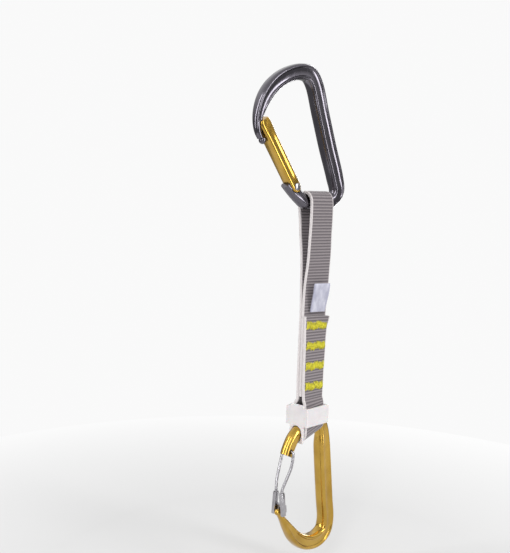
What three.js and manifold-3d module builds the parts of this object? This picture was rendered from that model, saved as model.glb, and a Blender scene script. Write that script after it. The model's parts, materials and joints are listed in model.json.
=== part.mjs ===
// A climbing quickdraw, hanging: a solid-gate carabiner at the top, a sewn sling,
// a rubber keeper, and a wire-gate carabiner at the rope end.  Millimetres, +Z up.
// The origin is the point of the top carabiner that rests on the anchor.
import * as THREE from 'three';
import { mergeVertices } from 'three/addons/utils/BufferGeometryUtils.js';
import Module from 'manifold-3d';

const wasm = await Module();
wasm.setup();
const DEG = Math.PI / 180;

// ---- driving dimensions ------------------------------------------------------
const GAP = 0.3;                  // clearance left between neighbouring pieces
const WEB_WIDTH = 20.4;           // sling webbing
const WEB_THICK = 2.4;
const SLING_LENGTH = 177;         // outside of the top loop to outside of the low loop
const ROD_DEEP = 9.5;             // carabiner bar under the sling, in its own plane
const ROD_THICK = 9;              // and across that plane
const TOP_TILT = 19.5 * DEG;      // each carabiner leans off the vertical as it hangs
const LOW_TILT = 7.5 * DEG;
const TOP_YAW = -9 * DEG;         // the top carabiner is turned this much

// ---- small geometry tools ----------------------------------------------------
const THROUGH = 9;                // a cut reaching this far each way goes right through a bar
const vec = (x, y, z) => new THREE.Vector3(x, y, z);

function solidFromRings(rings) {
  const count = rings[0].length;
  const points = rings.flat();
  const faces = [];
  const quad = (a, b, c, d) => faces.push(a, b, c, a, c, d);
  for (let r = 0; r + 1 < rings.length; r += 1) {
    for (let k = 0; k < count; k += 1) {
      const next = (k + 1) % count;
      quad(r * count + k, r * count + next, (r + 1) * count + next, (r + 1) * count + k);
    }
  }
  const cap = (ring, first, flip) => {
    const middle = ring.reduce((sum, p) => sum.add(p), vec(0, 0, 0)).divideScalar(count);
    points.push(middle);
    const centre = points.length - 1;
    for (let k = 0; k < count; k += 1) {
      const pair = [first + k, first + ((k + 1) % count)];
      faces.push(centre, ...(flip ? pair.reverse() : pair));
    }
  };
  cap(rings[0], 0, true);
  cap(rings[rings.length - 1], (rings.length - 1) * count, false);
  const geometry = new THREE.BufferGeometry();
  geometry.setAttribute('position',
    new THREE.Float32BufferAttribute(points.flatMap((p) => [p.x, p.y, p.z]), 3));
  geometry.setIndex(faces);
  return signedVolume(geometry) > 0 ? geometry : turnedInsideOut(geometry);
}

function signedVolume(geometry) {
  const place = geometry.attributes.position;
  const index = geometry.index.array;
  const corner = (i) => vec().fromBufferAttribute(place, index[i]);
  let sum = 0;
  for (let i = 0; i < index.length; i += 3) {
    sum += corner(i).dot(corner(i + 1).cross(corner(i + 2)));
  }
  return sum / 6;
}

function turnedInsideOut(geometry) {
  const index = Array.from(geometry.index.array);
  for (let i = 0; i < index.length; i += 3) {
    [index[i], index[i + 1]] = [index[i + 1], index[i]];
  }
  geometry.setIndex(index);
  return geometry;
}

function toManifold(geometry) {
  const plain = geometry.clone();
  plain.deleteAttribute('normal');
  plain.deleteAttribute('uv');
  const welded = mergeVertices(plain, 1e-4);
  return new wasm.Manifold(new wasm.Mesh({
    numProp: 3,
    vertProperties: Float32Array.from(welded.attributes.position.array),
    triVerts: Uint32Array.from(welded.index.array),
  }));
}

function fromManifold(solid) {
  const mesh = solid.getMesh();
  const geometry = new THREE.BufferGeometry();
  geometry.setAttribute('position', new THREE.Float32BufferAttribute(mesh.vertProperties, 3));
  geometry.setIndex(Array.from(mesh.triVerts));
  return geometry;
}

const joined = (...pieces) => fromManifold(
  pieces.map(toManifold).reduce((whole, piece) => whole.add(piece)));
const cutFrom = (body, ...tools) => fromManifold(
  tools.map(toManifold).reduce((left, tool) => left.subtract(tool), toManifold(body)));

function block(x0, x1, y0, y1, z0, z1, acrossSteps = 1, upSteps = 1) {
  const geometry = new THREE.BoxGeometry(x1 - x0, y1 - y0, z1 - z0, acrossSteps, 1, upSteps);
  return geometry.translate((x0 + x1) / 2, (y0 + y1) / 2, (z0 + z1) / 2);
}

// a round pin lying along Y between y0 and y1, centred on (x, z)
function pinAlongY(x, z, radius, y0, y1, sides = 16) {
  const geometry = new THREE.CylinderGeometry(radius, radius, y1 - y0, sides);
  return geometry.translate(x, (y0 + y1) / 2, z);
}

// ---- bars: a section carried along a spline that lies in the XZ plane ----------
// the section of a forged bar: 1 is half the depth or half the thickness.
// `groove` 0 gives an oval rod, 1 gives an I-beam with a sunk web.
const BEAM = [[1, 0.3], [0.86, 0.8], [0.62, 1], [0.42, 1], [0.3, 0.76]];
const OVAL_ANGLES = [12, 36, 56, 68, 80];
function barSection(groove) {
  const quarter = BEAM.map(([depth, across], i) => {
    const angle = OVAL_ANGLES[i] * DEG;
    return [
      THREE.MathUtils.lerp(Math.cos(angle), depth, groove),
      THREE.MathUtils.lerp(Math.sin(angle), across, groove),
    ];
  });
  const mirroredDepth = quarter.map(([d, a]) => [-d, a]).reverse();
  const upper = [...quarter, ...mirroredDepth];
  return [...upper, ...upper.map(([d, a]) => [-d, -a])];
}

// stations: {x, z, deep, thick, groove} along the middle line of the bar
function forgedBar(stations, steps, grow = 0) {
  const line = new THREE.CatmullRomCurve3(
    stations.map((s) => vec(s.x, 0, s.z)), false, 'centripetal');
  const rings = [];
  for (let i = 0; i <= steps; i += 1) {
    const t = i / steps;
    const at = t * (stations.length - 1);
    const a = stations[Math.min(Math.floor(at), stations.length - 2)];
    const b = stations[Math.min(Math.floor(at), stations.length - 2) + 1];
    const mix = (name) => THREE.MathUtils.lerp(a[name], b[name], at - stations.indexOf(a));
    const point = line.getPoint(t);
    const along = line.getTangent(t);
    const across = vec(along.z, 0, -along.x);
    rings.push(barSection(mix('groove')).map(([d, w]) => point.clone()
      .addScaledVector(across, d * (mix('deep') / 2 + grow))
      .setY(w * (mix('thick') / 2 + grow))));
  }
  return solidFromRings(rings);
}

const station = (x, z, deep, thick, groove) => ({ x, z, deep, thick, groove });

// a round wire through the given points, or straight lines between them
function roundWire(curve, radius, steps, sides = 8) {
  const frames = curve.computeFrenetFrames(steps, false);
  const rings = frames.tangents.map((_, i) => {
    const centre = curve.getPointAt(i / steps);
    return Array.from({ length: sides }, (__, k) => {
      const angle = (2 * Math.PI * k) / sides;
      return centre.clone()
        .addScaledVector(frames.normals[i], radius * Math.cos(angle))
        .addScaledVector(frames.binormals[i], radius * Math.sin(angle));
    });
  });
  return solidFromRings(rings);
}

// ---- the top carabiner: x runs from the gate to the spine, spine outside at 0 -----
const TOP_CORNER = { x: -15, z: 15, radius: 10.2 };    // narrow end, middle of the bar
const TOP_CROWN = { x: -17, z: 87, radius: 11.25 };    // wide end at the spine
const SPINE_DEEP = 11.5;
const TOP_HANG = {
  x: TOP_CROWN.x + (TOP_CROWN.radius - SPINE_DEEP / 2) * Math.sin(TOP_TILT),
  z: TOP_CROWN.z + (TOP_CROWN.radius - SPINE_DEEP / 2) * Math.cos(TOP_TILT),
};
const around = (centre, degrees) => [
  centre.x + centre.radius * Math.cos(degrees * DEG),
  centre.z + centre.radius * Math.sin(degrees * DEG),
];
const TOP_SADDLE = { x: -27.6, z: 8.4 };   // middle of the bar under the sling
const alongSaddle = (distance) => [
  TOP_SADDLE.x - distance * Math.cos(TOP_TILT),
  TOP_SADDLE.z + distance * Math.sin(TOP_TILT),
];
const TOP_BAR = [
  station(-48.8, 30, 9, 8.6, 0.2),
  station(-44.6, 22.4, 9.4, 8.6, 0.2),
  station(-40.4, 15.6, 9.5, 9, 0),
  station(...alongSaddle(10.4), ROD_DEEP, ROD_THICK, 0),
  station(...alongSaddle(0), ROD_DEEP, ROD_THICK, 0),
  station(...alongSaddle(-10.2), ROD_DEEP, ROD_THICK, 0),
  station(...around(TOP_CORNER, -66), ROD_DEEP, ROD_THICK, 0.2),
  station(...around(TOP_CORNER, -30), 10.4, 9.2, 0.6),
  station(-5.2, 20, 11, 9.4, 1),
  station(-5.75, 42, SPINE_DEEP, 9.4, 1),
  station(-5.75, 66, SPINE_DEEP, 9.4, 1),
  station(...around(TOP_CROWN, 0), SPINE_DEEP, 9.4, 1),
  station(...around(TOP_CROWN, 42), SPINE_DEEP, 9.4, 1),
  station(...around(TOP_CROWN, 84), 11, 9.4, 1),
  station(-27, 99, 10.4, 9.4, 1),
  station(-36.4, 97.4, 10, 9.2, 1),
  station(-44.8, 94, 9.4, 9, 1),
  station(-52, 88.8, 8.6, 8.6, 0.9),
  station(-58, 82, 7, 7.8, 0.6),
  station(-61.6, 75.6, 5.2, 6.4, 0.2),
  station(-62.7, 70, 4.3, 5.4, 0),
  station(-61.9, 65.4, 3.8, 5, 0),
];
const NOSE_BALL = { x: -60.4, z: 63.4, radius: 2.7 };
const NOSE_SLOT_HALF = 3.2;       // half the width of the gate's slot for the nose
const PIVOT = { x: -44, z: 25.6 };
const GATE_LENGTH = 53;           // pivot to the free end
const GATE_LEAN = Math.atan2(-0.261, 0.965);
const GATE_DEEP = 8.2;
const GATE_THICK = 9;
const GATEWAY = { reach: 12, high: 14 };   // room cut in the frame for the gate to swing
const RIVET_RADIUS = 1.6;
const TONGUE = { thick: 3.2, radius: 3.3, root: 3.2, reach: 6.5 };
const BORE = { radius: 2.1, depth: 30 };
const FOLLOWER = { radius: 1.8, foot: TONGUE.radius + GAP, length: 5 };
const SPRING = { turns: 6, wire: 0.35, radius: 1.6, length: 17 };

const topFromLocal = new THREE.Matrix4().makeRotationZ(TOP_YAW)
  .multiply(new THREE.Matrix4().makeRotationY(-TOP_TILT))
  .multiply(new THREE.Matrix4().makeTranslation(-TOP_HANG.x, 0, -TOP_HANG.z));
// gate parts are drawn upright round the pivot, free end up, then leaned over
const gateToLocal = new THREE.Matrix4().makeTranslation(PIVOT.x, 0, PIVOT.z)
  .multiply(new THREE.Matrix4().makeRotationY(GATE_LEAN));

function noseBall(grow) {
  return new THREE.SphereGeometry(NOSE_BALL.radius + grow, 14, 10)
    .translate(NOSE_BALL.x, 0, NOSE_BALL.z);
}

function topFrame() {
  const bar = forgedBar(TOP_BAR, 44);
  // the socket the gate's foot turns in, open on the side the gate swings to
  const socket = pinAlongY(PIVOT.x, PIVOT.z, GATE_DEEP / 2 + GAP, -THROUGH, THROUGH, 24);
  const halfDeep = GATE_DEEP / 2 + GAP;
  const gateway = block(-halfDeep, GATEWAY.reach, -THROUGH, THROUGH, 0, GATEWAY.high).applyMatrix4(gateToLocal);
  const cut = cutFrom(bar, socket, gateway);
  const half = TONGUE.thick / 2;
  const eye = pinAlongY(PIVOT.x, PIVOT.z, TONGUE.radius, -half, half, 24);
  const root = block(-TONGUE.root, TONGUE.root, -half, half, -TONGUE.reach, 0).applyMatrix4(gateToLocal);
  const hole = pinAlongY(PIVOT.x, PIVOT.z, RIVET_RADIUS + GAP, -THROUGH, THROUGH);
  return cutFrom(joined(cut, noseBall(0), eye, root), hole);
}

function gateBar(grow) {
  // half depth along the gate: round foot, straight body, slightly swollen head
  const half = GATE_DEEP / 2;
  const outline = [[-half, 1.2], [-3.4, 2.6], [-1.6, 3.8], [1, half], [40, half],
    [45, half + 0.4], [50, half + 0.4], [GATE_LENGTH, half - 0.6]];
  const corner = 1.9;
  return solidFromRings(outline.map(([z, deep]) => {
    const a = Math.max(deep - corner, 0.3) + grow;
    const b = GATE_THICK / 2 - corner + grow;
    const round = Math.min(corner, deep - 0.3);
    const corners = [[a, b, 0], [-a, b, 90], [-a, -b, 180], [a, -b, 270]];
    return corners.flatMap(([x, y, start]) => [0, 30, 60, 90].map((turn) => {
      const angle = (start + turn) * DEG;
      return vec(x + round * Math.cos(angle), y + round * Math.sin(angle), z);
    }));
  }));
}

function topGate() {
  const slotHalf = TONGUE.thick / 2 + GAP;
  const slot = block(-THROUGH, THROUGH, -slotHalf, slotHalf, -THROUGH, FOLLOWER.foot + 0.6);
  const bore = new THREE.CylinderGeometry(BORE.radius, BORE.radius, BORE.depth, 16)
    .rotateX(90 * DEG).translate(0, 0, BORE.depth / 2);
  const rivetHole = pinAlongY(0, 0, RIVET_RADIUS + GAP, -THROUGH, THROUGH);
  const toGate = gateToLocal.clone().invert();
  const ballMiddle = vec(NOSE_BALL.x, 0, NOSE_BALL.z).applyMatrix4(toGate);
  const nose = forgedBar(TOP_BAR.slice(-6), 12, GAP + 0.1).applyMatrix4(toGate);
  const ball = noseBall(GAP).applyMatrix4(toGate);
  // the nose leaves through the outer side when the gate opens
  const noseSlot = block(-THROUGH, ballMiddle.x, -NOSE_SLOT_HALF, NOSE_SLOT_HALF,
    ballMiddle.z, GATE_LENGTH + 2);
  return cutFrom(gateBar(0), slot, bore, rivetHole, nose, ball, noseSlot)
    .applyMatrix4(gateToLocal);
}

function gateRivet() {
  const reach = GATE_THICK / 2;
  const shank = pinAlongY(PIVOT.x, PIVOT.z, RIVET_RADIUS, -reach - GAP - 0.2, reach + GAP + 0.2);
  const heads = [-1, 1].map((side) => pinAlongY(PIVOT.x, PIVOT.z, RIVET_RADIUS + 0.9,
    side > 0 ? reach + GAP : -reach - GAP - 0.5, side > 0 ? reach + GAP + 0.5 : -reach - GAP));
  return joined(shank, ...heads);
}

function gateFollower() {
  const { radius, foot, length } = FOLLOWER;
  const profile = [[0, foot], [radius * 0.7, foot + 0.3], [radius, foot + 1.2],
    [radius, foot + length - 0.3], [0, foot + length - 0.3]];
  return new THREE.LatheGeometry(profile.map(([r, z]) => new THREE.Vector2(r, z)), 14)
    .rotateX(90 * DEG).applyMatrix4(gateToLocal);
}

function gateSpring() {
  const start = FOLLOWER.foot + FOLLOWER.length + GAP + SPRING.wire;
  class Coil extends THREE.Curve {
    getPoint(t, target = vec()) {
      const angle = 2 * Math.PI * SPRING.turns * t;
      return target.set((SPRING.radius - SPRING.wire) * Math.cos(angle),
        (SPRING.radius - SPRING.wire) * Math.sin(angle), start + SPRING.length * t);
    }
  }
  return roundWire(new Coil(), SPRING.wire, SPRING.turns * 9, 6).applyMatrix4(gateToLocal);
}

// ---- the sling: x across the web, y through it, z along it ------------------------
const saddle = vec(TOP_SADDLE.x, 0, TOP_SADDLE.z).applyMatrix4(topFromLocal);
const LOOP_INSIDE = 5.4;                        // both loops, inside radius
const LOOP_MIDDLE = LOOP_INSIDE + WEB_THICK / 2;
const SLACK = 0.4;                              // the bars sit this far into the loops
const TOP_LOOP_Z = saddle.z + SLACK;
const LOW_LOOP_Z = TOP_LOOP_Z + 2 * (LOOP_INSIDE + WEB_THICK) - SLING_LENGTH;
const LOW_BAR_Z = LOW_LOOP_Z + SLACK;
const PLY_STEP = WEB_THICK + GAP;               // one ply to the next where sewn
const FRONT_Y = -PLY_STEP / 2;
const BACK_Y = PLY_STEP / 2;
const LAP_Y = FRONT_Y - PLY_STEP;
const LOOSE_END_Z = -158;                       // loose loop stops, sewn part begins
const SEWN_TOP_Z = -161;
const LAP_TOP_Z = -163.5;
const SEWN_END_Z = -221;
// the hanging sling is a little twisted and bowed: [height, degrees of turn, sideways shift]
const HANG_SHAPE = [[-78, -9, 0], [-100, -9, 1.2], [-122, -12, 2.4], [-145, -18, 2.2],
  [-163, -14, 1.6], [-185, -8, 0.6], [-208, -5, 0], [-228, -1, 0], [-260, 0, 0]];
const LOW_SLANT = Math.tan(17 * DEG);           // the low bar rises to the spine side
const TACKS = { count: 4, first: -170, pitch: 14.6, high: 5.4, wide: 17.6, thick: 0.7 };
const LABEL = { wide: 12.5, top: -141, bottom: -160.5, thick: 0.9 };

function hangAt(z) {
  const next = HANG_SHAPE.findIndex(([height]) => z >= height);
  if (next === 0) return { turn: HANG_SHAPE[0][1] * DEG, shift: HANG_SHAPE[0][2] };
  const [z0, turn0, shift0] = HANG_SHAPE[next - 1];
  const [z1, turn1, shift1] = HANG_SHAPE[next];
  const part = THREE.MathUtils.smoothstep((z - z0) / (z1 - z0), 0, 1);
  const mix = THREE.MathUtils.lerp;
  return { turn: mix(turn0, turn1, part) * DEG, shift: mix(shift0, shift1, part) };
}

// where a point of the straight sling really lies: twisted, bowed, and slanted below
function hungSling(geometry) {
  const place = geometry.attributes.position;
  for (let i = 0; i < place.count; i += 1) {
    const p = vec().fromBufferAttribute(place, i);
    const hang = hangAt(p.z);
    const slant = LOW_SLANT * (1 - THREE.MathUtils.smoothstep(p.z, LOW_LOOP_Z + 5, SEWN_END_Z));
    p.z += p.x * slant;
    p.applyAxisAngle(vec(0, 0, 1), hang.turn);
    place.setXYZ(i, p.x + saddle.x + hang.shift, p.y + saddle.y, p.z);
  }
  return geometry;
}

// a strip of web whose middle runs through the given [y, z] points
function webStrip(points, steps, width = WEB_WIDTH, thick = WEB_THICK) {
  const curve = new THREE.CatmullRomCurve3(points.map(([y, z]) => vec(0, y, z)), false, 'centripetal');
  const rings = [];
  for (let i = 0; i <= steps; i += 1) {
    const middle = curve.getPointAt(i / steps);
    const along = curve.getTangentAt(i / steps);
    const out = vec(0, -along.z, along.y).multiplyScalar(thick / 2);
    const side = vec(width / 2, 0, 0);
    rings.push([[1, 1], [-1, 1], [-1, -1], [1, -1]].map(([s, o]) => middle.clone()
      .addScaledVector(side, s).addScaledVector(out, o)));
  }
  return solidFromRings(rings);
}

const roundLoop = (z, fromDegrees, toDegrees, count) => Array.from({ length: count }, (_, i) => {
  const angle = THREE.MathUtils.lerp(fromDegrees, toDegrees, i / (count - 1)) * DEG;
  return [LOOP_MIDDLE * Math.cos(angle), z + LOOP_MIDDLE * Math.sin(angle)];
});

function upperLoop() {
  const near = [[FRONT_Y, LOOSE_END_Z], [-1.9, -148], [-3.3, -130], [-4.9, -110], [-6, -94]];
  const far = near.map(([y, z]) => [-y, z]).reverse();
  return hungSling(webStrip([...near, ...roundLoop(TOP_LOOP_Z, 182, -2, 9), ...far], 44));
}

function lowerLoop() {
  const end = SEWN_END_Z - GAP;
  const near = [[LAP_Y, end], [LAP_Y, end - 1.5], [-5.2, end - 5], [-6.5, LOW_LOOP_Z + 8]];
  const far = [[6.3, LOW_LOOP_Z + 8], [3.6, end - 5], [BACK_Y, end - 1.5], [BACK_Y, end]];
  return hungSling(webStrip([...near, ...roundLoop(LOW_LOOP_Z, 176, 364, 8), ...far], 30));
}

const tackMiddles = Array.from({ length: TACKS.count }, (_, i) => TACKS.first - i * TACKS.pitch);
const LEG = { x: [-6, 6], half: 0.4, hole: 0.7 };     // the stitches that go through the plies
const legs = (z, half, y0, y1) => LEG.x.map((x) => block(x - half, x + half, y0, y1, z - half, z + half));

function sewnPly(y, top, bottom) {
  const half = WEB_THICK / 2;
  const ply = block(-WEB_WIDTH / 2, WEB_WIDTH / 2, y - half, y + half, bottom, top, 4, 10);
  const holes = tackMiddles.flatMap((z) => legs(z, LEG.hole, -THROUGH, THROUGH));
  return cutFrom(hungSling(ply), ...holes.map(hungSling));
}

// one bar tack: a bar of thread on each face, joined by the stitches between them
function barTack(z) {
  const { wide, high, thick } = TACKS;
  const front = LAP_Y - WEB_THICK / 2 - GAP;
  const back = BACK_Y + WEB_THICK / 2 + GAP;
  const bar = (y0, y1) => block(-wide / 2, wide / 2, y0, y1, z - high / 2, z + high / 2, 4, 1);
  return joined(...[bar(front - thick, front), bar(back, back + thick),
    ...legs(z, LEG.half, front - thick / 2, back + thick / 2)].map(hungSling));
}

// a folded tag tucked in above the lap: two leaves, open at the side, fold at the top
function label() {
  const y = FRONT_Y - WEB_THICK / 2 - 1.2;
  const lean = [[y - 0.2, LABEL.bottom], [y - 1.6, -154], [y - 3.6, -146], [y - 4.6, LABEL.top]];
  return hungSling(webStrip(lean, 8, LABEL.wide, LABEL.thick).translate(1.2, 0, 0));
}

// ---- the lower carabiner: same axes, wide end down --------------------------------
const LOW_SADDLE = { x: -21.6, z: -3.4 };
const LOW_CORNER = { x: -13.6, z: -10, radius: 8 };
const LOW_CROWN = { x: -17, z: -83.5, radius: 11 };
const LOW_BAR = [
  station(-46, -18.6, 9.4, 7.6, 0.3),
  station(-42.4, -13.4, 9.8, 7.6, 0.4),
  station(-37.6, -8.2, 9.6, 8.4, 0.2),
  station(-31.5, -5.1, ROD_DEEP, ROD_THICK, 0),
  station(LOW_SADDLE.x, LOW_SADDLE.z, ROD_DEEP, ROD_THICK, 0),
  station(-13.8, -2.1, ROD_DEEP, ROD_THICK, 0),
  station(...around(LOW_CORNER, 45), ROD_DEEP, ROD_THICK, 0.2),
  station(-5.5, -12, 9.8, 9.2, 0.4),
  station(-5.9, -24, 11.4, 9.4, 1),
  station(-6, -45, 12, 9.4, 1),
  station(-6, -66, 12, 9.4, 1),
  station(...around(LOW_CROWN, 0), 12, 9.4, 1),
  station(...around(LOW_CROWN, -45), 12, 9.4, 1),
  station(...around(LOW_CROWN, -90), 11.8, 9.4, 1),
  station(-26, -93.6, 11.4, 9.4, 1),
  station(-35, -89.4, 10.8, 9.4, 1),
  station(-42.6, -82.2, 9.4, 9, 1),
  station(-48.6, -73, 7, 8, 0.7),
  station(-53.4, -64.6, 4.6, 6.4, 0.2),
  station(-57.3, -58.4, 3, 4, 0),
];
const LOW_BALL = { x: -58, z: -57, radius: 2.4 };
const LOW_PIVOT = { x: -43.4, z: -15 };
const WIRE_RADIUS = 1.05;
const WIRE_OFFSET = 0.8;      // each wire end sits this far off the pivot, to spring it shut
const WIRE_HOLE = 1.65;
const YOKE = { topX: -55.4, topZ: -43, topY: 2.75, lowX: -57, lowZ: -59, lowY: 4.4 };

const lowFromLocal = new THREE.Matrix4().makeTranslation(saddle.x, saddle.y, LOW_BAR_Z)
  .multiply(new THREE.Matrix4().makeRotationY(-LOW_TILT))
  .multiply(new THREE.Matrix4().makeTranslation(-LOW_SADDLE.x, 0, -LOW_SADDLE.z));
const wireEnd = (side) => [
  LOW_PIVOT.x + side * 0.58 * WIRE_OFFSET,
  LOW_PIVOT.z + side * 0.81 * WIRE_OFFSET,
];

function lowFrame() {
  const ball = new THREE.SphereGeometry(LOW_BALL.radius, 14, 10)
    .translate(LOW_BALL.x, 0, LOW_BALL.z);
  const holes = [-1, 1].map((side) => pinAlongY(...wireEnd(side), WIRE_HOLE,
    side < 0 ? -9 : 0.9, side < 0 ? -0.9 : 9, 14));
  return cutFrom(joined(forgedBar(LOW_BAR, 42), ball), ...holes);
}

// one leg of the wire gate; side -1 is the near one
function gateWire(side) {
  const [x, z] = wireEnd(side);
  const leg = new THREE.CatmullRomCurve3([
    vec(x, side * 1.3, z), vec(x, side * 3.6, z), vec(x - 0.1, side * 5, z - 0.9),
    vec(x - 0.6, side * 5.35, z - 4), vec(-47.2, side * 5.3, -26.5),
    vec(-52, side * 4.2, -34.5), vec(-54.7, side * 3, -40.2),
    vec(YOKE.topX, side * YOKE.topY, YOKE.topZ), vec(-55.9, side * 3.27, -48)], false, 'centripetal');
  return roundWire(leg, WIRE_RADIUS, 30);
}

function yoke() {
  const cheek = (side) => solidFromRings([
    [YOKE.topX, YOKE.topY, YOKE.topZ, 1.8, 1.75], [YOKE.lowX, YOKE.lowY, YOKE.lowZ, 1.9, 1.5],
  ].map(([x, y, z, halfX, halfY]) => [[1, 1], [-1, 1], [-1, -1], [1, -1]].map(
    ([u, w]) => vec(x + u * halfX, side * y + w * halfY, z))));
  const bridge = block(-55.4, -53.4, -5.4, 5.4, -57.6, -52.4);
  const bore = (side) => roundWire(new THREE.LineCurve3(
    vec(-55, side * 2.34, -39), vec(-56, side * 3.37, -49)), WIRE_RADIUS + GAP, 2);
  return cutFrom(joined(cheek(-1), cheek(1), bridge), bore(-1), bore(1));
}

// ---- the rubber keeper: a band round both plies, with a long cheek on the gate side --
const KEEPER = {
  top: LOW_LOOP_Z + 15.5,
  low: LOW_LOOP_Z + 2,
  wall: 1.8,
  cheekTop: LOW_LOOP_Z + 17.5,
  cheekLow: LOW_LOOP_Z - 10.5,
};
const ROCK_LIMIT = 6 * DEG;
const lowBarAxis = vec(Math.cos(Math.atan(LOW_SLANT)), 0, Math.sin(Math.atan(LOW_SLANT)));
const lowSaddle = vec(saddle.x, saddle.y, LOW_BAR_Z);

function rocked(geometry, angle) {
  return geometry.clone().translate(-lowSaddle.x, -lowSaddle.y, -lowSaddle.z)
    .applyMatrix4(new THREE.Matrix4().makeRotationAxis(lowBarAxis, angle))
    .translate(lowSaddle.x, lowSaddle.y, lowSaddle.z);
}

function keeper() {
  const roomX = WEB_WIDTH / 2 + GAP;
  const roomY = LOOP_INSIDE + WEB_THICK + GAP;
  const outX = roomX + KEEPER.wall;
  const outY = roomY + KEEPER.wall;
  const band = block(-outX, outX, -outY, outY, KEEPER.low, KEEPER.top);
  const cheek = block(-outX, -roomX, -outY + 1, outY - 1,
    KEEPER.cheekLow, KEEPER.cheekTop);
  const room = block(-roomX, roomX, -roomY, roomY, KEEPER.low - 20, KEEPER.top + 20);
  const shell = cutFrom(joined(band, cheek), room).translate(saddle.x, saddle.y, 0);
  const bar = forgedBar(LOW_BAR.slice(1, 10), 16, GAP).applyMatrix4(lowFromLocal);
  return cutFrom(shell, ...[-1, 0, 1].map((part) => rocked(bar, part * ROCK_LIMIT)));
}

// ---- the whole part -----------------------------------------------------------------
const FINISH = {
  gunmetal: { color: 0x2b2930, roughness: 0.25, metalness: 1 },
  gold: { color: 0xc89628, roughness: 0.3, metalness: 1 },
  steel: { color: 0xb4b4b8, roughness: 0.3, metalness: 1 },
  web: { color: 0x78706f, roughness: 0.9, metalness: 0 },
  thread: { color: 0xd2d22a, roughness: 0.8, metalness: 0 },
  tag: { color: 0xe2dde6, roughness: 0.8, metalness: 0 },
  rubber: { color: 0xe8e4e4, roughness: 0.6, metalness: 0 },
};
const group = new THREE.Group();
group.name = 'climbing_quickdraw';
function add(name, finish, geometry) {
  const material = new THREE.MeshStandardMaterial({ name: `${name}_finish`, ...FINISH[finish] });
  const mesh = new THREE.Mesh(geometry, material);
  mesh.name = name;
  group.add(mesh);
}

add('top_carabiner_frame', 'gunmetal', topFrame().applyMatrix4(topFromLocal));
add('top_gate', 'gold', topGate().applyMatrix4(topFromLocal));
add('top_gate_rivet', 'steel', gateRivet().applyMatrix4(topFromLocal));
add('top_gate_spring', 'steel', gateSpring().applyMatrix4(topFromLocal));
add('top_gate_follower', 'steel', gateFollower().applyMatrix4(topFromLocal));
add('sling_upper_loop', 'web', upperLoop());
add('sling_front_ply', 'web', sewnPly(FRONT_Y, SEWN_TOP_Z, SEWN_END_Z));
add('sling_back_ply', 'web', sewnPly(BACK_Y, SEWN_TOP_Z, SEWN_END_Z));
add('sling_end_lap', 'web', sewnPly(LAP_Y, LAP_TOP_Z, SEWN_END_Z));
add('sling_lower_loop', 'web', lowerLoop());
tackMiddles.forEach((z, i) => add(`bar_tack_${i + 1}`, 'thread', barTack(z)));
add('sling_label', 'tag', label());
add('sling_keeper', 'rubber', keeper());
add('lower_carabiner_frame', 'gold', lowFrame().applyMatrix4(lowFromLocal));
add('lower_gate_wire_near', 'steel', gateWire(-1).applyMatrix4(lowFromLocal));
add('lower_gate_wire_far', 'steel', gateWire(1).applyMatrix4(lowFromLocal));
add('lower_gate_yoke', 'steel', yoke().applyMatrix4(lowFromLocal));

export default group;
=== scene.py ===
"""The look of a climbing quickdraw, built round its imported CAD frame.

Lengths in the shape sections are millimetres in each carabiner's own plane, the same numbers as
the CAD part's; `place_top` and `place_low` bring them into the frame, in metres.
"""
import json
import math

import bmesh
import bpy
import numpy as np
from mathutils import Matrix, Vector


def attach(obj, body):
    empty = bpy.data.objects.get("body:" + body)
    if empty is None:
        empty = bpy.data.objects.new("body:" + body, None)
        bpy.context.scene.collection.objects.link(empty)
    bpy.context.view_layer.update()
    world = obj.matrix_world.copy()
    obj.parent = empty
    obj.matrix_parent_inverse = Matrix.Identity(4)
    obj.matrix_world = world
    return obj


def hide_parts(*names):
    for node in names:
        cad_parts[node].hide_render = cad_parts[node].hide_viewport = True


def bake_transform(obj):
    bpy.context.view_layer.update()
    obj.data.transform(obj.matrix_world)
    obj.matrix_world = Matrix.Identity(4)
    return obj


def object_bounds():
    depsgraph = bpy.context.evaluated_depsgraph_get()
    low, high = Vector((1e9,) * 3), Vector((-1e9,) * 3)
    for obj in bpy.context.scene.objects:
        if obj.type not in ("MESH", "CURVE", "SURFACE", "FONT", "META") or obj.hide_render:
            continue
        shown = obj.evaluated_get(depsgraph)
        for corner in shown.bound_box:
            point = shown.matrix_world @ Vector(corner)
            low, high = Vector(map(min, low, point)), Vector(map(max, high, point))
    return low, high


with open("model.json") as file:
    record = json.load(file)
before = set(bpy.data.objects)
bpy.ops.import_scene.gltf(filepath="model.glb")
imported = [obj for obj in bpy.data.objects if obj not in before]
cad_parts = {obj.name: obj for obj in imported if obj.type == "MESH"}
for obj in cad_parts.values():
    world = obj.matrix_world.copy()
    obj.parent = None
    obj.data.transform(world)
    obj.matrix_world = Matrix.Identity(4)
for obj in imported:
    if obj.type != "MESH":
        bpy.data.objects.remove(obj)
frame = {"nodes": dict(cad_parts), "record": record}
cad_low, cad_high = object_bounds()

MM = 0.001
DEG = math.pi / 180
JOINTS = {joint["name"]: joint for joint in frame["record"]["behaviour"]["joints"]}


def joint_point(name):
    return Vector(JOINTS[name]["pos_m"])


# ---- where the two carabiners lie ---------------------------------------------------
TOP_TILT = 19.5 * DEG
LOW_TILT = 7.5 * DEG
TOP_YAW = -9 * DEG
TOP_SADDLE = (-27.6, 8.4)          # middle of the bar under the sling, own plane
LOW_SADDLE = (-21.6, -3.4)
TOP_PIVOT = (-44, 25.6)
LOW_PIVOT = (-43.4, -15)
saddle = joint_point("sling_swing")
low_saddle = joint_point("lower_carabiner_rock")


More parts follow.
